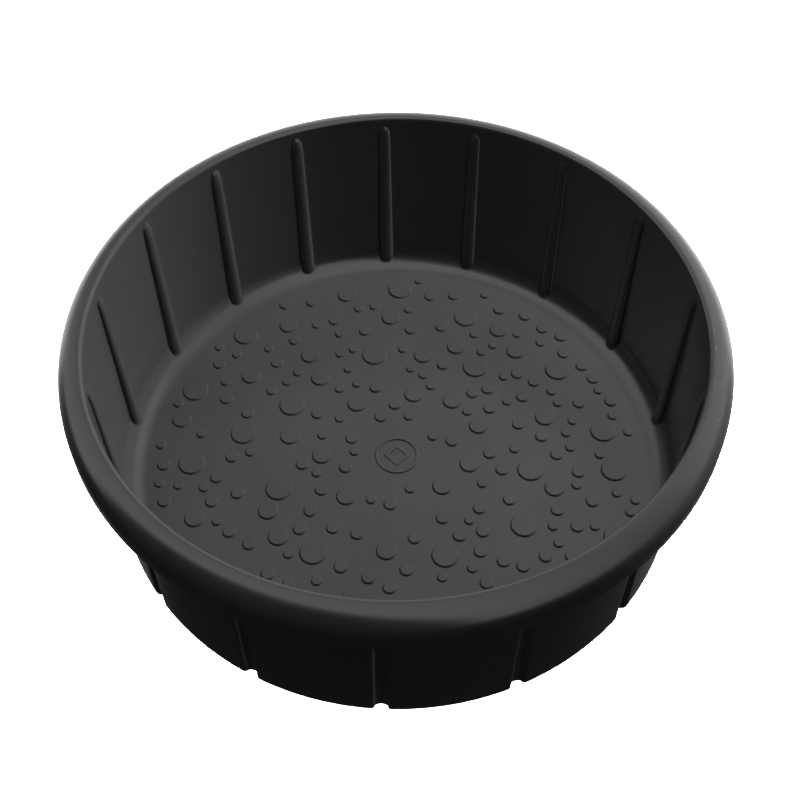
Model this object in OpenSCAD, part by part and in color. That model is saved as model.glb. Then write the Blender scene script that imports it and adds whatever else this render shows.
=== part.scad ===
// Round mixing tub moulded in one black skin: a flat floor with raised discs, an upright wall
// pressed into flutes, and a broad rolled rim. Origin on the floor plane at the tub's centre, +Z up.

/* [Tub] */
// Outside diameter over the rolled rim
rim_d = 915; // [860:5:980]
// Height from the ground to the top of the rim
tub_h = 317; // [280:1:360]
// Thickness of the moulded skin
skin = 3; // [2:0.5:4]
// Outside diameter of the wall where it stands on the ground
base_d = 840; // [800:2:850]
// How much wider the wall is under the rim than at the ground, on the diameter
wall_draft = 4; // [0:1:10]

/* [Heel] */
// Inside radius that joins the floor to the wall
heel_r = 34; // [20:1:45]
// Outside radius round the bottom edge
base_edge_r = 12; // [6:1:18]

/* [Rolled rim] */
// Radius of the outer roll
roll_r = 38; // [30:1:40]
// Radius of the inner edge of the rim
rim_edge_r = 6.5; // [5:0.5:9]
// Drop from the top of the rim to the lower edge of its skirt
skirt_drop = 56; // [48:1:70]
// Height of the plain band between the flutes and the rim edge
plain_band_h = 7.5; // [5:0.5:12]

/* [Wall flutes] */
// Number of flutes round the wall
flute_count = 16; // [12:1:16]
// Width of a flute, seen from inside
flute_w = 28; // [22:1:32]
// Depth of a flute's groove at the ground
flute_depth = 12; // [8:1:14]
// Half of the angle that a flute and its strip of wall take up, in degrees
flute_half = 2.4; // [2.2:0.1:3]
// Lean of a flute's crest away from the tub's axis, in degrees
flute_lean = 1.3; // [0:0.1:1.5]
// Angle of the first flute, from +X towards +Y, in degrees
flute_phase = 89.7; // [80:0.1:100]
// Swing of the spacing, which is closer at +Y and wider at -Y, in degrees
flute_swing = 8.7; // [0:0.1:9]
// Turn of the place where the flutes are closest, in degrees
swing_lag = 18.4; // [0:0.1:30]

/* [Floor discs] */
// Height of a raised disc above the floor
disc_h = 3; // [1:0.1:4]
// How far a disc's side leans in from its foot to its top
disc_lean = 1.7; // [0:0.1:2]
// Radius of a large disc
large_r = 20.5; // [16:0.5:22]
// Radius of a medium disc
medium_r = 15.5; // [12:0.5:16]
// Radius of a small disc
small_r = 10.5; // [9:0.5:12]
// Radius of a tiny disc
tiny_r = 8.2; // [6:0.1:9]
// Number of large discs
large_count = 22; // [10:1:24]
// Number of medium discs
medium_count = 30; // [10:1:30]
// Number of small discs
small_count = 94; // [20:1:94]
// Number of tiny discs
tiny_count = 94; // [20:1:94]
// Seed of the discs' scatter
scatter_seed = 7; // [1:1:99]

/* [Medallion] */
// Radius of the plain raised ring at the centre of the floor
medallion_r = 34; // [24:1:36]
// Width of the medallion's raised lines
medallion_line = 5; // [3:0.5:6]

/* [Hidden] */
// Facets of small rounds, and of everything that goes round the tub's own axis
$fn = 48;
ring_facets = 360;
rim_r = rim_d / 2;
base_r = base_d / 2;
wall_top_r = base_r + wall_draft / 2;

// Heights of the zones that the skin is divided into
heel_top_z = skin + heel_r;
wall_top_z = tub_h - rim_edge_r - plain_band_h;
skirt_z = tub_h - skirt_drop;

// The heel's inner radius runs from the floor's edge up to the wall
floor_r = base_r - skin - heel_r;

// The roll and the rim's edge are two arcs that meet on the line through their centres
roll_x = rim_r - roll_r;
edge_x = wall_top_r - skin + rim_edge_r;
edge_z = tub_h - rim_edge_r;
roll_z = edge_z - sqrt(pow(roll_r - rim_edge_r, 2) - pow(edge_x - roll_x, 2));
meet_angle = atan2(edge_z - roll_z, edge_x - roll_x);
shoulder_angle = meet_angle / 2;

// The flute's crest is a round-cornered channel, and its groove follows inside it
crest_r = base_r - flute_depth - skin;
crest_corner_r = 4;
groove_w = flute_w - 2 * skin;
groove_corner_r = 3;
flute_out = 30;
sector_half = 12;
below = 1;

// Space kept round the medallion and between discs
medallion_gap = 16;
disc_gap = 3.5;
disc_edge_gap = 5;
tries_per_disc = 8;

plastic = [0.11, 0.11, 0.115];
plastic_raised = [0.16, 0.16, 0.165];
plastic_rim = [0.14, 0.14, 0.145];

function two_digits(k) = str(k < 10 ? "0" : "", k);
function flute_step(k) = 360 * k / flute_count;
function flute_angle(k) = flute_phase + flute_step(k) - flute_swing * sin(flute_step(k) - swing_lag);
function arc(cx, cz, r, from, to, steps) =
    [for (i = [0 : steps]) let (a = from + (to - from) * i / steps) [cx + r * cos(a), cz + r * sin(a)]];

// ---- Scatter of the discs: of a few random spots, each disc takes the one with the most room ----

function room(p, r, placed) = min([for (d = placed) norm(p - [d[0], d[1]]) - r - d[2]]);

function random_spot(seed, r) =
    let (u = rands(0, 1, 2, seed))
    let (reach = floor_r - r - disc_edge_gap)
    [reach * sqrt(u[0]) * cos(360 * u[1]), reach * sqrt(u[0]) * sin(360 * u[1]), r];

function roomiest(spots, rooms) = [for (i = [0 : len(spots) - 1]) if (rooms[i] == max(rooms)) spots[i]][0];

function placed_one(seed, r, placed) =
    let (spots = [for (i = [1 : tries_per_disc]) random_spot(seed + i * 0.37, r)])
    let (rooms = [for (p = spots) room([p[0], p[1]], r, placed)])
    max(rooms) < disc_gap ? placed : concat(placed, [roomiest(spots, rooms)]);

function scattered(count, r, seed, placed) =
    count == 0 ? placed : scattered(count - 1, r, seed + 31, placed_one(seed, r, placed));

function large_spots() =
    scattered(large_count, large_r, scatter_seed * 1000, [[0, 0, medallion_r + medallion_gap - disc_gap]]);
function medium_spots() = scattered(medium_count, medium_r, scatter_seed * 2000, large_spots());
function small_spots() = scattered(small_count, small_r, scatter_seed * 3000, medium_spots());
function tiny_spots() = scattered(tiny_count, tiny_r, scatter_seed * 4000, small_spots());

// ---- Shapes that the zones share ----

// The cross-section of a flute: a bar with two rounded corners on the side of the tub's axis
module channel_outline(width, tip_r, corner) {
    translate([tip_r + corner, -width / 2])
        square([base_r + flute_out - tip_r - corner, width]);
    translate([tip_r, -width / 2 + corner])
        square([2 * corner, width - 2 * corner]);
    for (side = [-1, 1])
        translate([tip_r + corner, side * (width / 2 - corner)])
            circle(r = corner);
}

// A leaning channel, cut off by a slope at its top end
module channel(width, tip_r, corner, top_z) {
    difference() {
        translate([tip_r, 0, 0])
            rotate([0, flute_lean, 0])
                translate([-tip_r, 0, -10])
                    linear_extrude(height = top_z + 20)
                        channel_outline(width, tip_r, corner);
        translate([base_r, -width, top_z])
            rotate([0, 45, 0])
                translate([-4 * flute_w, 0, 0])
                    cube([8 * flute_w, 2 * width, 4 * flute_w]);
        translate([0, -width, top_z])
            cube([2 * base_r, 2 * width, 4 * flute_w]);
    }
}

// The outside of a flute, as a solid bar over +X
module flute_bar() {
    channel(flute_w, crest_r, crest_corner_r, wall_top_z);
}

// The groove pressed into the outside of a flute, over +X
module flute_groove() {
    channel(groove_w, crest_r + skin, groove_corner_r, wall_top_z - 2 * skin);
}

// Everything inside the wall's outer face, with the rounded bottom edge, in a narrow sector over +X
module outer_sector() {
    rotate([0, 0, -sector_half])
        rotate_extrude(angle = 2 * sector_half, $fn = ring_facets) {
            square([base_r - base_edge_r, heel_top_z]);
            translate([0, base_edge_r])
                square([base_r, heel_top_z - base_edge_r]);
            translate([base_r - base_edge_r, base_edge_r])
                circle(r = base_edge_r);
            polygon([[0, heel_top_z], [base_r, heel_top_z], [wall_top_r, wall_top_z], [0, wall_top_z]]);
        }
}

// The wall above the heel between two angles, with its outer face moved out by extra
module wall_stretch(from, to, extra) {
    rotate([0, 0, from])
        rotate_extrude(angle = to - from, $fn = ring_facets)
            polygon([
                [base_r - skin, heel_top_z], [base_r + extra, heel_top_z],
                [wall_top_r + extra, wall_top_z], [wall_top_r - skin, wall_top_z]
            ]);
}

// One flute with its strip of wall, over +X
module flute() {
    difference() {
        intersection() {
            union() {
                flute_bar();
                wall_stretch(-flute_half, flute_half, flute_out);
            }
            outer_sector();
        }
        flute_groove();
    }
}

// ---- The zones of the moulding ----

module floor_panel() {
    color(plastic)
        cylinder(r = floor_r, h = skin, $fn = ring_facets);
}

module floor_heel() {
    color(plastic)
        difference() {
            rotate_extrude($fn = ring_facets)
                difference() {
                    union() {
                        translate([floor_r, 0])
                            square([heel_r + skin - base_edge_r, heel_top_z]);
                        translate([floor_r, base_edge_r])
                            square([heel_r + skin, heel_top_z - base_edge_r]);
                        translate([base_r - base_edge_r, base_edge_r])
                            circle(r = base_edge_r);
                    }
                    translate([floor_r, heel_top_z])
                        circle(r = heel_r);
                }
            for (k = [1 : flute_count])
                rotate([0, 0, flute_angle(k)])
                    flute_bar();
        }
}

module wall_panel(k) {
    color(plastic)
        wall_stretch(flute_angle(k) + flute_half, flute_angle(k + 1) - flute_half, 0);
}

module wall_flute(k) {
    color(plastic)
        rotate([0, 0, flute_angle(k)])
            flute();
}

// A shell between two angles of the outer roll
module roll_stretch(from, to, steps) {
    rotate_extrude($fn = ring_facets)
        polygon(concat(
            arc(roll_x, roll_z, roll_r, from, to, steps),
            arc(roll_x, roll_z, roll_r - skin, to, from, steps)
        ));
}

module rim_edge() {
    color(plastic_rim)
        rotate_extrude($fn = ring_facets)
            polygon(concat(
                [[wall_top_r - skin, wall_top_z]],
                arc(edge_x, edge_z, rim_edge_r, 180, meet_angle, 12),
                arc(edge_x, edge_z, rim_edge_r - skin, meet_angle, 180, 12),
                [[wall_top_r, wall_top_z]]
            ));
}

module rim_crown() {
    color(plastic_rim)
        roll_stretch(meet_angle, shoulder_angle, 9);
}

module rim_shoulder() {
    color(plastic_rim)
        roll_stretch(shoulder_angle, 0, 9);
}

module rim_skirt() {
    color(plastic_rim)
        translate([0, 0, skirt_z])
            difference() {
                cylinder(r = rim_r, h = roll_z - skirt_z, $fn = ring_facets);
                translate([0, 0, -below])
                    cylinder(r = rim_r - skin, h = roll_z - skirt_z + 2 * below, $fn = ring_facets);
            }
}

// The discs of one size, with sides that lean in towards the top
module discs(spots, r) {
    color(plastic_raised)
        for (spot = spots)
            if (spot[2] == r)
                translate([spot[0], spot[1], skin])
                    cylinder(r1 = r, r2 = r - disc_lean, h = disc_h);
}

module large_floor_discs() {
    discs(large_spots(), large_r);
}

module medium_floor_discs() {
    discs(medium_spots(), medium_r);
}

module small_floor_discs() {
    discs(small_spots(), small_r);
}

module tiny_floor_discs() {
    discs(tiny_spots(), tiny_r);
}

// A plain raised ring round a diamond
module centre_medallion() {
    diamond_w = medallion_r - medallion_line;
    color(plastic_raised)
        translate([0, 0, skin])
            linear_extrude(height = disc_h) {
                difference() {
                    circle(r = medallion_r);
                    circle(r = medallion_r - medallion_line);
                }
                rotate(45)
                    difference() {
                        square(diamond_w, center = true);
                        square(diamond_w - 2 * medallion_line, center = true);
                    }
            }
}

floor_panel();
floor_heel();
for (k = [1 : flute_count])
    wall_panel(k);
for (k = [1 : flute_count])
    wall_flute(k);
rim_edge();
rim_crown();
rim_shoulder();
rim_skirt();
large_floor_discs();
medium_floor_discs();
small_floor_discs();
tiny_floor_discs();
centre_medallion();
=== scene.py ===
"""Looks of a round black mixing tub: one moulded polyethylene skin, divided where its own features meet."""

import logging
import math
from dataclasses import dataclass, field
from enum import Enum

import bmesh
import bpy
from mathutils import Matrix, Vector


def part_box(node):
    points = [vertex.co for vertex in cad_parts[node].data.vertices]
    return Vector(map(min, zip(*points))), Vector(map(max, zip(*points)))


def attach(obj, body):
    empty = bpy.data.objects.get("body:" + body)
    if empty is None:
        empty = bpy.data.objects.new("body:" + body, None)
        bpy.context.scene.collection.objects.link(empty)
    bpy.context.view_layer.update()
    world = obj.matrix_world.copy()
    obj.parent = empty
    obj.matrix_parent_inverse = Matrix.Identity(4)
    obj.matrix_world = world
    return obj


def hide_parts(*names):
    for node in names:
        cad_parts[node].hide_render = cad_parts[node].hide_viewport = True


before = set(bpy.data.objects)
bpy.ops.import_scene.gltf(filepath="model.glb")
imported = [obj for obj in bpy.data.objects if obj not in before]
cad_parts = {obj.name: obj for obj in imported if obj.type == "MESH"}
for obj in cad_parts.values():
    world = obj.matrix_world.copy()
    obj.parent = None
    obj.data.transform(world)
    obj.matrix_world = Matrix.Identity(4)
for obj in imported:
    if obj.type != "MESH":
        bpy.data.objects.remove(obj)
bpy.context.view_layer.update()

LOG = logging.getLogger("mixing_tub")
MM = 0.001
# Corners nearer to each other than this are one corner
SAME_POINT = 0.01 * MM
BODY = "root"

Point = tuple[float, float]


# ---- Small helpers ----


def linear(hex_colour: str) -> tuple[float, float, float, float]:
    """Turns an sRGB hex colour into linear light.

    Args:
        hex_colour: the colour, such as "#1c1c1d".

    Returns:
        Linear red, green and blue, and an alpha of 1.
    """
    values = [int(hex_colour[k:k + 2], 16) / 255 for k in (1, 3, 5)]
    light = [v / 12.92 if v <= 0.04045 else ((v + 0.055) / 1.055) ** 2.4 for v in values]
    return (*light, 1.0)


def mix(start: float, end: float, share: float) -> float:
    """Gives the value that lies at a share of the way from start to end."""
    return start + (end - start) * share


def soft_above(value: float, blend: float) -> float:
    """Gives value where it is positive and zero where it is negative, with a smooth bend between.

    Args:
        value: the number to limit.
        blend: how far on each side of zero the bend reaches.

    Returns:
        The limited value, never under zero.
    """
    if blend <= 0 or abs(value) >= blend:
        return max(0.0, value)
    return (value + blend) ** 2 / (4 * blend)


def arc(centre: Point, radius: float, start: float, end: float, steps: int) -> list[Point]:
    """Gives the points of an arc in a cross-section.

    Args:
        centre: radius and height of the arc's centre.
        radius: the arc's own radius.
        start: angle of the first point, in degrees from straight outwards.
        end: angle of the last point, in degrees.
        steps: how many chords the arc has.

    Returns:
        The points, first and last included.
    """
    angles = [math.radians(mix(start, end, k / steps)) for k in range(steps + 1)]
    return [(centre[0] + radius * math.cos(a), centre[1] + radius * math.sin(a)) for a in angles]


def add_node(
    tree: bpy.types.NodeTree, kind: str, settings: dict[str, object], inputs: dict[str | int, object]
) -> bpy.types.Node:
    """Adds a node with its settings and links.

    Args:
        tree: the node tree.
        kind: the node's type name.
        settings: attributes of the node.
        inputs: for each input socket's name or number, a constant or the output socket that feeds it.

    Returns:
        The new node.
    """
    node = tree.nodes.new(kind)
    for name, value in settings.items():
        setattr(node, name, value)
    for name, value in inputs.items():
        if isinstance(value, bpy.types.NodeSocket):
            tree.links.new(value, node.inputs[name])
        else:
            node.inputs[name].default_value = value
    return node


def face_outwards(bm: bmesh.types.BMesh) -> None:
    """Points every face of a closed solid outwards.

    On a thin curved shell the operator can turn the whole solid inside out, which its volume shows.

    Args:
        bm: the solid's mesh.
    """
    bmesh.ops.recalc_face_normals(bm, faces=bm.faces)
    if bm.calc_volume(signed=True) < 0:
        bmesh.ops.reverse_faces(bm, faces=bm.faces)


def spun(outline: list[Point], steps: int) -> bmesh.types.BMesh:
    """Turns a closed cross-section once round the tub's axis.

    Args:
        outline: radius and height of each corner, in order.
        steps: how many segments the full turn has.

    Returns:
        The closed ring, with its faces outwards.
    """
    bm = bmesh.new()
    verts = [bm.verts.new((radius, 0, height)) for radius, height in outline]
    edges = [bm.edges.new((a, b)) for a, b in zip(verts, verts[1:] + verts[:1])]
    bmesh.ops.spin(
        bm, geom=verts + edges, axis=(0, 0, 1), cent=(0, 0, 0), angle=math.tau, steps=steps, use_merge=True
    )
    bmesh.ops.remove_doubles(bm, verts=bm.verts, dist=SAME_POINT)
    face_outwards(bm)
    return bm


def node_radii(node: str) -> Point:
    """Gives the smallest and largest distance of a CAD node's corners from the tub's axis."""
    radii = [math.hypot(v.co.x, v.co.y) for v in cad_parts[node].data.vertices]
    return min(radii), max(radii)


def node_angle(node: str) -> float:
    """Gives the direction of a CAD node seen from the tub's axis, in radians."""
    middle = sum((v.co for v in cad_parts[node].data.vertices), Vector())
    return math.atan2(middle.y, middle.x)


def placed(
    name: str, bm: bmesh.types.BMesh, material: bpy.types.Material, nodes: list[str],
    sharp: float = 40.0, flat_tops: bool = False,
) -> bpy.types.Object:
    """Makes a piece of a finished mesh and lets it ride on the tub.

    Args:
        name: the piece's name.
        bm: its mesh, which is freed.
        material: its finish.
        nodes: the CAD nodes that it stands for.
        sharp: the angle between faces above which an edge is sharp, in degrees.
        flat_tops: whether broad flat faces keep their shading right up to a rounded edge.

    Returns:
        The piece.
    """
    mesh = bpy.data.meshes.new(name)
    bm.to_mesh(mesh)
    bm.free()
    mesh.shade_smooth()
    mesh.set_sharp_from_angle(angle=math.radians(sharp))
    mesh.materials.append(material)
    piece = bpy.data.objects.new(name, mesh)
    bpy.context.scene.collection.objects.link(piece)
    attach(piece, BODY)
    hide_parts(*nodes)
    if flat_tops:
        piece.modifiers.new("flat_tops", "WEIGHTED_NORMAL").keep_sharp = True
    LOG.info("%s: %d faces, stands for %s", name, len(mesh.polygons), ", ".join(nodes))
    return piece


# ---- Finishes ----


@dataclass(frozen=True)
class MouldedPolyethylene:
    """Black high-density polyethylene, moulded.

    Carbon black makes it nearly black all through, and the mould leaves a satin skin: broad soft
    highlights, no mirror, a fine pebbled grain, and faint clouds where the melt cooled unevenly.
    """

    name: str = "moulded_polyethylene"
    colour: str = "#151515"
    cloud_colour: str = "#191919"
    roughness: float = 0.25
    roughness_swing: float = 0.03
    ior: float = 1.5
    cloud_size: float = 140 * MM
    # A moulded grain is well under 1 mm across, too fine to show, so it is drawn as coarse as it needs
    grain_size: float = 2.4 * MM
    grain_height: float = 0.012 * MM
    # Slow waves that cooling leaves in a thin skin
    wave_size: float = 55 * MM
    wave_height: float = 0.05 * MM

    def build(self) -> bpy.types.Material:
        """Makes the material.

        Returns:
            The node material.
        """
        material = bpy.data.materials.new(self.name)
        material.use_nodes = True
        tree = material.node_tree
        tree.nodes.clear()
        place = add_node(tree, "ShaderNodeTexCoord", {}, {}).outputs["Object"]
        clouds = add_node(
            tree, "ShaderNodeTexNoise", {"noise_dimensions": "3D"},
            {"Vector": place, "Scale": 1 / self.cloud_size, "Detail": 3.0, "Roughness": 0.55},
        )
        waves = add_node(
            tree, "ShaderNodeTexNoise", {"noise_dimensions": "3D"},
            {"Vector": place, "Scale": 1 / self.wave_size, "Detail": 1.0, "Roughness": 0.4},
        )
        grain = add_node(
            tree, "ShaderNodeTexNoise", {"noise_dimensions": "3D"},
            {"Vector": place, "Scale": 1 / self.grain_size, "Detail": 2.0, "Roughness": 0.6},
        )
        colour = add_node(
            tree, "ShaderNodeMixRGB", {},
            {
                "Fac": clouds.outputs["Fac"],
                "Color1": linear(self.colour),
                "Color2": linear(self.cloud_colour),
            },
        )
        roughness = add_node(
            tree, "ShaderNodeMapRange", {},
            {
                "Value": clouds.outputs["Fac"],
                "To Min": self.roughness - self.roughness_swing,
                "To Max": self.roughness + self.roughness_swing,
            },
        )
        wave_bump = add_node(
            tree, "ShaderNodeBump", {},
            {"Height": waves.outputs["Fac"], "Distance": self.wave_height, "Strength": 1.0},
        )
        grain_bump = add_node(
            tree, "ShaderNodeBump", {},
            {
                "Height": grain.outputs["Fac"],
                "Distance": self.grain_height,
                "Strength": 1.0,
                "Normal": wave_bump.outputs["Normal"],
            },
        )
        shader = add_node(
            tree, "ShaderNodeBsdfPrincipled", {},
            {
                "Base Color": colour.outputs["Color"],
                "Roughness": roughness.outputs["Result"],
                "IOR": self.ior,
                "Normal": grain_bump.outputs["Normal"],
            },
        )
        add_node(tree, "ShaderNodeOutputMaterial", {}, {"Surface": shader.outputs["BSDF"]})
        return material


@dataclass(frozen=True)
class LitTableTop:
    """White translucent acrylic, lit a little from below, as under a product on a light table."""

    name: str = "lit_table_top"
    colour: str = "#f2f2f2"
    glow: float = 0.62
    roughness: float = 0.9

    def build(self) -> bpy.types.Material:
        """Makes the material.

        Returns:
            The node material.
        """
        material = bpy.data.materials.new(self.name)
        material.use_nodes = True
        tree = material.node_tree
        tree.nodes.clear()
        shader = add_node(
            tree, "ShaderNodeBsdfPrincipled", {},
            {
                "Base Color": linear(self.colour),
                "Roughness": self.roughness,
                "Specular IOR Level": 0.0,
                "Emission Color": linear(self.colour),
                "Emission Strength": self.glow,
            },
        )
        add_node(tree, "ShaderNodeOutputMaterial", {}, {"Surface": shader.outputs["BSDF"]})
        return material


# ---- The tub ----


class Stretch(Enum):
    """The stretches of a bay's cross-section, in the order in which they run round it."""

    HEEL = "rounded corner inside, from the floor up to the wall"
    INNER_WALL = "inner face of the wall"
    OUTER_WALL = "outer face of the wall"
    BASE_EDGE = "rounded bottom edge outside"
    UNDERSIDE = "flat ring under the heel"


class Face(Enum):
    """The two faces of the skin."""

    INSIDE = "inside"
    OUTSIDE = "outside"


@dataclass(frozen=True)
class Row:
    """One line of points round the tub.

    Attributes:
        stretch: the stretch that the row is on.
        value: angle in radians on a rounded stretch, height on a wall, radius on the underside.
    """

    stretch: Stretch
    value: float


@dataclass
class TubSizes:
    """Driving sizes, read from the CAD nodes, in metres."""

    skin: float = field(init=False)
    floor_radius: float = field(init=False)
    base_radius: float = field(init=False)
    heel_top: float = field(init=False)
    wall_top: float = field(init=False)
    wall_top_radius: float = field(init=False)
    rim_radius: float = field(init=False)
    roll_height: float = field(init=False)
    skirt_foot: float = field(init=False)
    height: float = field(init=False)
    flute_angles: list[float] = field(init=False)

    def __post_init__(self) -> None:
        """Reads the sizes."""
        self.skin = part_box("floor_panel")[1].z
        self.floor_radius = node_radii("floor_panel")[1]
        self.base_radius = node_radii("floor_heel")[1]
        self.heel_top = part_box("floor_heel")[1].z
        self.wall_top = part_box("wall_panel_01")[1].z
        self.wall_top_radius = node_radii("rim_edge")[0] + self.skin
        self.rim_radius = node_radii("rim_skirt")[1]
        self.roll_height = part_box("rim_skirt")[1].z
        self.skirt_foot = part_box("rim_skirt")[0].z
        self.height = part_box("rim_crown")[1].z
        names = sorted(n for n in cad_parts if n.startswith("wall_flute_"))
        self.flute_angles = [node_angle(n) for n in names]

    def wall_radius(self, height: float, face: Face) -> float:
        """Gives the plain wall's radius at a height, straight down below the heel's top."""
        share = max(0.0, (height - self.heel_top) / (self.wall_top - self.heel_top))
        outer = mix(self.base_radius, self.wall_top_radius, share)
        return outer if face is Face.OUTSIDE else outer - self.skin


@dataclass
class Flute:
    """A flute pressed into the wall: a half-round ridge inside and its groove outside."""

    sizes: TubSizes
    foot_depth: float = 11 * MM
    top_depth: float = 5.6 * MM
    foot_half_width: float = 12.2 * MM
    top_half_width: float = 8.5 * MM
    side_blend: float = 1.6 * MM
    run_out: float = 24 * MM
    run_out_blend: float = 0.9 * MM
    # The ridge ends this far under the wall's top, and the groove outside ends lower still
    top_gap: float = 1.0 * MM
    groove_drop: float = 8 * MM
    # Half of the angle of the strip of wall that the flute is pressed into
    strip_half: float = math.radians(2.9)
    # Shares of the strip's half width that go to the crest and to the crest with its blend
    crest_share: float = 0.62
    blend_share: float = 0.84

    def top(self, face: Face) -> float:
        """Gives the height at which the flute has run out into the wall."""
        end = self.sizes.wall_top - self.top_gap
        return end if face is Face.INSIDE else end - self.groove_drop

    def section(self, across: float, height: float, face: Face) -> Point:
        """Gives the flute's cross-section at a height.

        Args:
            across: place across the strip, from -1 to 1.
            height: height above the ground.
            face: the skin's inside or outside.

        Returns:
            The distance sideways from the flute's middle, and the depth pressed towards the axis.
        """
        share = min(1.0, max(0.0, height / self.sizes.wall_top))
        outward = self.sizes.skin if face is Face.OUTSIDE else 0.0
        depth = mix(self.foot_depth, self.top_depth, share)
        half = mix(self.foot_half_width, self.top_half_width, share) - outward
        blend = self.side_blend + outward
        place = abs(across)
        if place <= self.crest_share:
            turn = math.pi / 2 * place / self.crest_share
            sideways = half * math.sin(turn)
            pressed = blend + (depth - blend) * math.cos(turn)
        elif place <= self.blend_share:
            turn = math.pi / 2 * (place - self.crest_share) / (self.blend_share - self.crest_share)
            sideways = half + blend * (1 - math.cos(turn))
            pressed = blend * (1 - math.sin(turn))
        else:
            edge = self.strip_half * self.sizes.base_radius
            sideways = mix(half + blend, edge, (place - self.blend_share) / (1 - self.blend_share))
            pressed = 0.0
        return math.copysign(sideways, across), self.faded(pressed, depth, height, face)

    def faded(self, pressed: float, depth: float, height: float, face: Face) -> float:
        """Rounds the flute's top end off into the wall, as an ellipsoid's nose.

        Args:
            pressed: depth of this point where the flute is full.
            depth: depth of the crest where the flute is full.
            height: height above the ground.
            face: the skin's inside or outside.

        Returns:
            The depth left at this height.
        """
        past = min(1.0, max(0.0, (height - self.top(face)) / self.run_out + 1))
        left = math.sqrt(max(0.0, pressed ** 2 - (depth * past) ** 2))
        blend = self.run_out_blend * past
        return left if blend <= 0 else soft_above(left - blend, blend)


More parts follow.
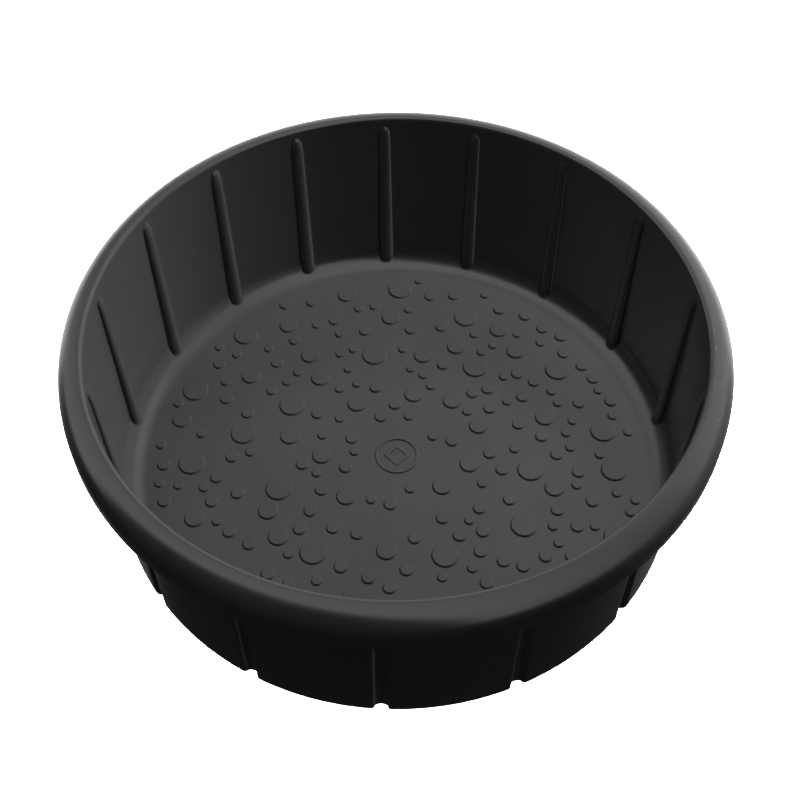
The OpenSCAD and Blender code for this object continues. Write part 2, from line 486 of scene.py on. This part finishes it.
@dataclass
class WallBay:
    """One flute with the plain wall up to the next flute, and the heel and bottom edge below them."""

    sizes: TubSizes
    flute: Flute
    index: int
    finish: bpy.types.Material
    heel_radius: float = field(init=False)
    middle: float = field(init=False)
    panel_angle: float = field(init=False)
    panel_columns: int = field(init=False)
    base_edge_radius: float = 12 * MM
    groove_edge_radius: float = 3 * MM
    foot_blend: float = 3 * MM
    strip_columns: int = 36
    column_width: float = 2.4 * MM
    heel_rows: int = 30
    wall_rows: int = 8
    run_out_rows: int = 12
    edge_rows: int = 8
    # The section is turned this far first, in radians, and each point's column is read from its angle
    first_turn: float = 1.0

    def __post_init__(self) -> None:
        """Works out the heel's radius, the flute's angle and the plain wall up to the next flute."""
        self.heel_radius = self.sizes.heel_top - self.sizes.skin
        angles = self.sizes.flute_angles
        self.middle = angles[self.index]
        gap = (angles[(self.index + 1) % len(angles)] - self.middle) % math.tau
        self.panel_angle = gap - 2 * self.flute.strip_half
        self.panel_columns = round(self.panel_angle * self.sizes.base_radius / self.column_width)

    @property
    def name(self) -> str:
        """The piece's name."""
        return f"wall_bay_{self.index + 1:02d}"

    def rows(self) -> list[Row]:
        """Lists the cross-section's rows, up the inside and down the outside.

        Returns:
            The rows, in order round the section.
        """
        sizes, flute = self.sizes, self.flute
        quarter = math.pi / 2
        heel = [Row(Stretch.HEEL, quarter * k / self.heel_rows) for k in range(self.heel_rows + 1)]
        inner = self.wall_heights(sizes.heel_top, flute.top(Face.INSIDE))
        outer = self.wall_heights(self.base_edge_radius, flute.top(Face.OUTSIDE))
        edge = [Row(Stretch.BASE_EDGE, quarter * k / self.edge_rows) for k in range(self.edge_rows + 1)]
        under = (sizes.floor_radius + sizes.base_radius - self.base_edge_radius) / 2
        return (
            heel
            + [Row(Stretch.INNER_WALL, z) for z in inner[1:]]
            + [Row(Stretch.OUTER_WALL, z) for z in reversed(outer[1:])]
            + edge
            + [Row(Stretch.UNDERSIDE, under), Row(Stretch.UNDERSIDE, sizes.floor_radius)]
        )

    def wall_heights(self, low: float, flute_top: float) -> list[float]:
        """Gives the heights of a wall face's rows, closer where the flute runs out.

        Args:
            low: the lowest height.
            flute_top: the height where the flute has run out.

        Returns:
            The heights, from low to the wall's top.
        """
        start = flute_top - self.flute.run_out
        straight = [mix(low, start, k / self.wall_rows) for k in range(self.wall_rows)]
        ending = [mix(start, flute_top, k / self.run_out_rows) for k in range(self.run_out_rows + 1)]
        return straight + ending + [self.sizes.wall_top]

    def point(self, row: Row, across: float) -> tuple[float, float, float]:
        """Places one point of the skin.

        Args:
            row: the row that it is on.
            across: its place across the flute's strip, from -1 to 1, or 1 on plain wall.

        Returns:
            Its distance sideways from the flute's middle, its radius and its height.
        """
        sizes, flute, value = self.sizes, self.flute, row.value
        if row.stretch is Stretch.HEEL:
            radius = sizes.floor_radius + self.heel_radius * math.sin(value)
            height = sizes.heel_top - self.heel_radius * math.cos(value)
            sideways, depth = flute.section(across, height, Face.INSIDE)
            gap = sizes.wall_radius(height, Face.INSIDE) - radius
            push = soft_above(depth - gap, min(depth, gap, self.foot_blend))
            return sideways, radius - push, height
        if row.stretch is Stretch.INNER_WALL:
            sideways, depth = flute.section(across, value, Face.INSIDE)
            return sideways, sizes.wall_radius(value, Face.INSIDE) - depth, value
        if row.stretch is Stretch.OUTER_WALL:
            sideways, depth = flute.section(across, value, Face.OUTSIDE)
            return sideways, sizes.wall_radius(value, Face.OUTSIDE) - depth, value
        sideways, depth = flute.section(across, 0.0, Face.OUTSIDE)
        if row.stretch is Stretch.UNDERSIDE:
            return sideways, value, 0.0
        edge = mix(self.base_edge_radius, self.groove_edge_radius, depth / flute.foot_depth)
        centre = sizes.base_radius - depth - edge
        return sideways, centre + edge * math.cos(value), edge * (1 - math.sin(value))

    def build(self) -> bmesh.types.BMesh:
        """Turns the cross-section through the bay, then presses the flute into it.

        Returns:
            The bay as one closed solid.
        """
        rows = self.rows()
        panel_start = self.middle + self.flute.strip_half
        columns = self.strip_columns + self.panel_columns
        bm = bmesh.new()
        row_of = bm.verts.layers.int.new("row")
        verts = []
        for k, row in enumerate(rows):
            _, radius, height = self.point(row, 1.0)
            verts.append(bm.verts.new((radius, 0, height)))
            verts[-1][row_of] = k
        profile = bm.faces.new(verts)
        geometry = [profile, *profile.edges, *profile.verts]
        bmesh.ops.spin(
            bm, geom=geometry, axis=(0, 0, 1), cent=(0, 0, 0), angle=self.first_turn, steps=columns
        )
        for vert in bm.verts:
            column = round(math.atan2(vert.co.y, vert.co.x) * columns / self.first_turn)
            across = min(1.0, 2 * column / self.strip_columns - 1)
            sideways, radius, height = self.point(rows[vert[row_of]], across)
            angle = self.middle + sideways / self.sizes.base_radius
            if column > self.strip_columns:
                share = (column - self.strip_columns) / self.panel_columns
                angle = panel_start + self.panel_angle * share
            vert.co = (radius * math.cos(angle), radius * math.sin(angle), height)
        face_outwards(bm)
        return bm

    def dress(self) -> bpy.types.Object:
        """Builds the bay and sets it in the frame.

        Returns:
            The finished piece.
        """
        number = f"{self.index + 1:02d}"
        nodes = [f"wall_flute_{number}", f"wall_panel_{number}", "floor_heel"]
        return placed(self.name, self.build(), self.finish, nodes)


@dataclass
class FloorSheet:
    """The flat floor inside the heel."""

    sizes: TubSizes
    finish: bpy.types.Material
    segments: int = 360
    overlap: float = 0.05 * MM

    def build(self) -> bmesh.types.BMesh:
        """Makes a thin round plate.

        Returns:
            The closed plate.
        """
        bm = bmesh.new()
        bmesh.ops.create_circle(
            bm, cap_ends=True, segments=self.segments, radius=self.sizes.floor_radius + self.overlap
        )
        lifted = bmesh.ops.extrude_face_region(bm, geom=bm.faces[:], use_keep_orig=True)
        top = [g for g in lifted["geom"] if isinstance(g, bmesh.types.BMVert)]
        bmesh.ops.translate(bm, verts=top, vec=(0, 0, self.sizes.skin))
        face_outwards(bm)
        return bm

    def dress(self) -> bpy.types.Object:
        """Builds the floor and sets it in the frame."""
        return placed("floor_sheet", self.build(), self.finish, ["floor_panel"])


@dataclass
class RolledRim:
    """The rim: a small inner edge, a broad outer roll, and the skirt that hangs from it."""

    sizes: TubSizes
    finish: bpy.types.Material
    roll_radius: float = 38 * MM
    edge_radius: float = 6.5 * MM
    lip_radius: float = 1.4 * MM
    straight: float = 2 * MM
    segments: int = 360
    edge_steps: int = 14
    roll_steps: int = 32
    lip_steps: int = 5

    edge_centre: Point = field(init=False)
    roll_centre: Point = field(init=False)
    meet: float = field(init=False)
    cut: float = field(init=False)

    def __post_init__(self) -> None:
        """Works out where the two arcs have their centres, and the angle at which they meet."""
        sizes = self.sizes
        inner = sizes.wall_top_radius - sizes.skin
        self.edge_centre = (inner + self.edge_radius, sizes.height - self.edge_radius)
        self.roll_centre = (sizes.rim_radius - self.roll_radius, sizes.roll_height)
        across = self.edge_centre[0] - self.roll_centre[0]
        up = self.edge_centre[1] - self.roll_centre[1]
        self.meet = math.degrees(math.atan2(up, across))
        self.cut = sizes.roll_height - self.straight

    def roll_outline(self) -> list[Point]:
        """Gives the cross-section from the wall's top to the cut under the roll."""
        sizes, skin = self.sizes, self.sizes.skin
        edge, roll = self.edge_centre, self.roll_centre
        return (
            [(sizes.wall_top_radius - skin, sizes.wall_top)]
            + arc(edge, self.edge_radius, 180, self.meet, self.edge_steps)
            + arc(roll, self.roll_radius, self.meet, 0, self.roll_steps)[1:]
            + [(sizes.rim_radius, self.cut), (sizes.rim_radius - skin, self.cut)]
            + arc(roll, self.roll_radius - skin, 0, self.meet, self.roll_steps)
            + arc(edge, self.edge_radius - skin, self.meet, 180, self.edge_steps)[1:]
            + [(sizes.wall_top_radius, sizes.wall_top)]
        )

    def skirt_outline(self) -> list[Point]:
        """Gives the cross-section of the skirt, with a rounded lower edge."""
        outer, inner = self.sizes.rim_radius, self.sizes.rim_radius - self.sizes.skin
        lip, foot = self.lip_radius, self.sizes.skirt_foot
        return (
            [(inner, self.cut), (outer, self.cut)]
            + arc((outer - lip, foot + lip), lip, 0, -90, self.lip_steps)
            + arc((inner + lip, foot + lip), lip, -90, -180, self.lip_steps)
        )

    def dress(self) -> list[bpy.types.Object]:
        """Builds the roll and the skirt and sets them in the frame.

        Returns:
            The two pieces.
        """
        roll = spun(self.roll_outline(), self.segments)
        skirt = spun(self.skirt_outline(), self.segments)
        return [
            placed("rolled_rim", roll, self.finish, ["rim_edge", "rim_crown", "rim_shoulder"]),
            placed("rim_skirt_band", skirt, self.finish, ["rim_skirt"]),
        ]


class DiscSize(Enum):
    """The four sizes of raised disc, named as their CAD nodes are."""

    LARGE = "large_floor_discs"
    MEDIUM = "medium_floor_discs"
    SMALL = "small_floor_discs"
    TINY = "tiny_floor_discs"


@dataclass
class DiscSet:
    """All raised discs of one size, each with a soft foot and a rounded top edge."""

    size: DiscSize
    finish: bpy.types.Material
    segments: int = 28
    foot_flare: float = 0.3 * MM
    side_lean: float = 1.7 * MM
    top_round: float = 0.35 * MM
    # Two steps of the top's rounding: how far in from the shoulder, and how far under the top
    round_steps: tuple[Point, ...] = ((0.4, 0.25), (1.4, 0.0))
    sunk: float = 0.4 * MM

    def spots(self) -> list[tuple[float, float, float]]:
        """Reads where the discs stand from the CAD node's separate solids.

        Returns:
            The centre, across and along, and the radius of each disc.
        """
        bm = bmesh.new()
        bm.from_mesh(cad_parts[self.size.value].data)
        bmesh.ops.remove_doubles(bm, verts=bm.verts, dist=SAME_POINT)
        found, seen = [], set()
        for first in bm.verts:
            if first in seen:
                continue
            island, waiting = [], [first]
            seen.add(first)
            while waiting:
                vert = waiting.pop()
                island.append(vert.co.copy())
                for edge in vert.link_edges:
                    other = edge.other_vert(vert)
                    if other not in seen:
                        seen.add(other)
                        waiting.append(other)
            low_x, high_x = min(c.x for c in island), max(c.x for c in island)
            low_y, high_y = min(c.y for c in island), max(c.y for c in island)
            found.append(((low_x + high_x) / 2, (low_y + high_y) / 2, (high_x - low_x) / 2))
        bm.free()
        return found

    def disc(self, radius: float) -> bpy.types.Mesh:
        """Makes one disc over the origin.

        Args:
            radius: the disc's radius at its foot.

        Returns:
            The disc's mesh.
        """
        low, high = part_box(self.size.value)[0].z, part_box(self.size.value)[1].z
        shoulder = radius - self.side_lean
        rings = [
            (radius + self.foot_flare, low - self.sunk),
            (radius + self.foot_flare, low),
            (radius, low + self.foot_flare),
            (shoulder, high - self.top_round),
        ]
        for inwards, under in self.round_steps:
            rings.append((shoulder - inwards * self.top_round, high - under * self.top_round))
        bm = bmesh.new()
        base = bmesh.ops.create_circle(bm, cap_ends=True, segments=self.segments, radius=rings[0][0])
        bmesh.ops.translate(bm, verts=base["verts"], vec=(0, 0, rings[0][1]))
        for (was, below), (now, above) in zip(rings, rings[1:]):
            top = max(bm.faces, key=lambda f: (len(f.verts) == self.segments, f.calc_center_median().z))
            raised = bmesh.ops.extrude_face_region(bm, geom=[top], use_keep_orig=True)
            verts = [g for g in raised["geom"] if isinstance(g, bmesh.types.BMVert)]
            if below > rings[0][1]:
                # Only the lowest face stays, as the underside: one left higher up would be inside
                bmesh.ops.delete(bm, geom=[top], context="FACES_ONLY")
            bmesh.ops.translate(bm, verts=verts, vec=(0, 0, above - below))
            bmesh.ops.scale(bm, verts=verts, vec=(now / was, now / was, 1))
        face_outwards(bm)
        mesh = bpy.data.meshes.new("disc")
        bm.to_mesh(mesh)
        bm.free()
        return mesh

    def dress(self) -> bpy.types.Object:
        """Stamps the disc at every spot and sets the group in the frame.

        Returns:
            The finished piece.
        """
        spots = self.spots()
        disc = self.disc(sum(spot[2] for spot in spots) / len(spots))
        bm = bmesh.new()
        for x, y, _ in spots:
            known = len(bm.verts)
            bm.from_mesh(disc)
            bm.verts.ensure_lookup_table()
            bmesh.ops.translate(bm, verts=bm.verts[known:], vec=(x, y, 0))
        bpy.data.meshes.remove(disc)
        name = self.size.value.replace("_floor_discs", "_disc_set")
        return placed(name, bm, self.finish, [self.size.value], sharp=30.0, flat_tops=True)


@dataclass
class CentreMark:
    """A plain raised ring round a diamond, at the middle of the floor."""

    finish: bpy.types.Material
    node: str = "centre_medallion"
    line: float = 5 * MM
    edge_lean: float = 1.8 * MM
    edge_steps: int = 2
    edge_fullness: float = 0.6
    # Edges of the lifted frame that turn more than this get the lean
    sharp_edge: float = math.radians(60)
    sunk: float = 0.4 * MM
    segments: int = 72

    def build(self) -> bmesh.types.BMesh:
        """Makes the ring and the diamond as frames of a round and of a square.

        Returns:
            The two closed solids.
        """
        low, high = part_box(self.node)
        radius = high.x
        diamond = (radius - self.line) / math.sqrt(2)
        bm = bmesh.new()
        for size, corners in ((radius, self.segments), (diamond, 4)):
            outline = bmesh.ops.create_circle(bm, cap_ends=True, segments=corners, radius=size)
            middle = outline["verts"][0].link_faces[0]
            bmesh.ops.inset_region(
                bm, faces=[middle], thickness=self.line, use_even_offset=True, use_boundary=True
            )
            bmesh.ops.delete(bm, geom=[middle], context="FACES_ONLY")
        bmesh.ops.translate(bm, verts=bm.verts, vec=(0, 0, low.z - self.sunk))
        lifted = bmesh.ops.extrude_face_region(bm, geom=bm.faces[:], use_keep_orig=True)
        top = [g for g in lifted["geom"] if isinstance(g, bmesh.types.BMVert)]
        bmesh.ops.translate(bm, verts=top, vec=(0, 0, high.z - low.z + self.sunk))
        face_outwards(bm)
        edges = [
            e for e in bm.edges
            if min(v.co.z for v in e.verts) > high.z - SAME_POINT
            and e.calc_face_angle(0.0) > self.sharp_edge
        ]
        bmesh.ops.bevel(
            bm, geom=edges, offset=self.edge_lean, affect="EDGES", segments=self.edge_steps,
            profile=self.edge_fullness, material=-1,
        )
        return bm

    def dress(self) -> bpy.types.Object:
        """Builds the mark and sets it in the frame."""
        return placed(
            "centre_ring_mark", self.build(), self.finish, [self.node], sharp=60.0, flat_tops=True
        )


# ---- Studio ----


@dataclass
class SoftBox:
    """A soft rectangular studio light, aimed at a point.

    It shades only the matt part of a surface, whose highlights come from the surround. One without a
    shadow is a fill light that reaches every surface facing it.
    """

    name: str
    place: tuple[float, float, float]
    aim: tuple[float, float, float]
    width: float
    depth: float
    radiance: float
    shadow: bool = True
    # Watts per square metre of panel for each unit of the brightness above
    watts_per_unit: float = 4.0

    def build(self) -> bpy.types.Object:
        """Makes the light.

        Returns:
            The light's object.
        """
        light = bpy.data.lights.new(self.name, "AREA")
        light.shape = "RECTANGLE"
        light.size, light.size_y = self.width, self.depth
        light.energy = self.watts_per_unit * self.radiance * self.width * self.depth
        light.use_shadow = self.shadow
        box = bpy.data.objects.new(self.name, light)
        box.location = self.place
        box.rotation_euler = (Vector(self.aim) - Vector(self.place)).to_track_quat("-Z", "Y").to_euler()
        box.visible_camera = False
        box.visible_glossy = False
        bpy.context.scene.collection.objects.link(box)
        LOG.info("%s: %.1f x %.1f m", self.name, self.width, self.depth)
        return box


@dataclass(frozen=True)
class StudioSurround:
    """The studio's pale walls and ceiling, as a satin skin mirrors them.

    Each stop gives how far to the back a direction points, from -1 to 1, and its brightness there.
    """

    backdrop: str = "#ffffff"
    ceiling: tuple[Point, ...] = (
        (-1.0, 0.04), (-0.66, 0.07), (-0.5, 1.7), (-0.2, 1.2),
        (0.1, 0.8), (0.32, 0.25), (0.5, 0.25), (0.64, 0.75),
    )
    # How far the ceiling's back is turned to the right of the tub's +Y
    ceiling_turn: float = math.radians(35)
    ground: tuple[Point, ...] = ((-1.0, 0.02), (0.2, 0.02), (0.4, 0.12), (0.5, 0.4), (0.6, 1.8))
    # Half height of the soft band at the horizon, where the ground's ramp gives way to the ceiling's
    horizon_blend: float = 0.12

    def build(self) -> bpy.types.World:
        """Makes the world.

        Returns:
            The world, plain white to the camera.
        """
        world = bpy.data.worlds.new("studio_surround")
        world.use_nodes = True
        tree = world.node_tree
        tree.nodes.clear()
        way = add_node(tree, "ShaderNodeTexCoord", {}, {}).outputs["Generated"]
        parts = add_node(tree, "ShaderNodeSeparateXYZ", {}, {"Vector": way}).outputs
        upper = add_node(
            tree, "ShaderNodeMapRange", {"interpolation_type": "SMOOTHSTEP"},
            {"Value": parts["Z"], "From Min": -self.horizon_blend, "From Max": self.horizon_blend},
        ).outputs["Result"]
        mirrored = add_node(
            tree, "ShaderNodeMixRGB", {},
            {
                "Fac": upper,
                "Color1": self.ramp(tree, way, 0.0, self.ground),
                "Color2": self.ramp(tree, way, self.ceiling_turn, self.ceiling),
            },
        )
        seen = add_node(tree, "ShaderNodeLightPath", {}, {}).outputs["Is Camera Ray"]
        shown = add_node(
            tree, "ShaderNodeMixRGB", {},
            {"Fac": seen, "Color1": mirrored.outputs["Color"], "Color2": linear(self.backdrop)},
        )
        light = add_node(tree, "ShaderNodeBackground", {}, {"Color": shown.outputs["Color"]})
        add_node(tree, "ShaderNodeOutputWorld", {}, {"Surface": light.outputs["Background"]})
        return world

    def ramp(
        self, tree: bpy.types.NodeTree, way: bpy.types.NodeSocket, turn: float, stops: tuple[Point, ...]
    ) -> bpy.types.NodeSocket:
        """Adds a ramp of brightness from the front to the back.

        Args:
            tree: the world's node tree.
            way: the socket that gives the direction.
            turn: how far the back is turned to the right of +Y, in radians.
            stops: direction to the back and brightness of each stop.

        Returns:
            The socket that gives the brightness.
        """
        turned = add_node(tree, "ShaderNodeMapping", {}, {"Vector": way, "Rotation": (0, 0, turn)})
        parts = add_node(tree, "ShaderNodeSeparateXYZ", {}, {"Vector": turned.outputs["Vector"]})
        share = add_node(
            tree, "ShaderNodeMapRange", {},
            {"Value": parts.outputs["Y"], "From Min": -1.0, "From Max": 1.0},
        )
        node = add_node(tree, "ShaderNodeValToRGB", {}, {"Fac": share.outputs["Result"]})
        ramp = node.color_ramp
        ramp.interpolation = "EASE"
        for spare in range(len(stops) - len(ramp.elements)):
            ramp.elements.new((spare + 1) / len(stops))
        for element, (backwards, brightness) in zip(ramp.elements, stops):
            element.position = (backwards + 1) / 2
            element.color = (brightness, brightness, brightness, 1.0)
        return node.outputs["Color"]


@dataclass
class Studio:
    """A pale lit table top, a pale surround and soft lights."""

    table_radius: float = 14.0
    table_segments: int = 96
    centre: tuple[float, float, float] = (0.0, 0.0, 0.15)

    def build(self) -> None:
        """Makes the table top, the world and the lights."""
        bm = bmesh.new()
        bmesh.ops.create_circle(bm, cap_ends=True, segments=self.table_segments, radius=self.table_radius)
        mesh = bpy.data.meshes.new("table_top")
        bm.to_mesh(mesh)
        bm.free()
        mesh.materials.append(LitTableTop().build())
        table = bpy.data.objects.new("table_top", mesh)
        bpy.context.scene.collection.objects.link(table)
        table.visible_glossy = False
        table.visible_diffuse = False

        bpy.context.scene.world = StudioSurround().build()
        SoftBox("overhead", (0.0, 0.0, 3.2), self.centre, 1.2, 1.2, 15.0).build()
        SoftBox("back_fill", (1.35, 1.65, 2.2), self.centre, 0.6, 0.6, 450.0, shadow=False).build()
        SoftBox("right_fill", (2.65, 1.15, 0.5), self.centre, 0.6, 0.6, 260.0, shadow=False).build()


@dataclass
class Viewpoint:
    """The camera: above and in front of the tub, looking down into it."""

    down: float = math.radians(52.4)
    roll: float = -0.0043
    distance: float = 1.8236
    target: tuple[float, float, float] = (0.0052, 0.0, 0.1435)
    lens: float = 56.25
    sensor: float = 36.0

    def build(self) -> bpy.types.Object:
        """Makes the camera and sets it as the scene's.

        Returns:
            The camera's object.
        """
        data = bpy.data.cameras.new("camera")
        data.lens, data.sensor_width = self.lens, self.sensor
        camera = bpy.data.objects.new("camera", data)
        forward = Vector((0, math.cos(self.down), -math.sin(self.down)))
        level, lifted = Vector((1, 0, 0)), Vector((0, math.sin(self.down), math.cos(self.down)))
        right = math.cos(self.roll) * level + math.sin(self.roll) * lifted
        up = math.cos(self.roll) * lifted - math.sin(self.roll) * level
        turn = Matrix((right, up, -forward)).transposed().to_4x4()
        camera.matrix_world = Matrix.Translation(Vector(self.target) - self.distance * forward) @ turn
        bpy.context.scene.collection.objects.link(camera)
        bpy.context.scene.camera = camera
        return camera


def main() -> None:
    """Builds the tub's pieces, the studio and the camera."""
    logging.basicConfig(level=logging.INFO, format="%(message)s")
    bpy.context.scene.view_settings.view_transform = "Standard"
    plastic = MouldedPolyethylene().build()
    sizes = TubSizes()
    flute = Flute(sizes)
    FloorSheet(sizes, plastic).dress()
    for index in range(len(sizes.flute_angles)):
        WallBay(sizes, flute, index, plastic).dress()
    RolledRim(sizes, plastic).dress()
    for size in DiscSize:
        DiscSet(size, plastic).dress()
    CentreMark(plastic).dress()
    Studio().build()
    Viewpoint().build()


if __name__ == "__main__":
    main()
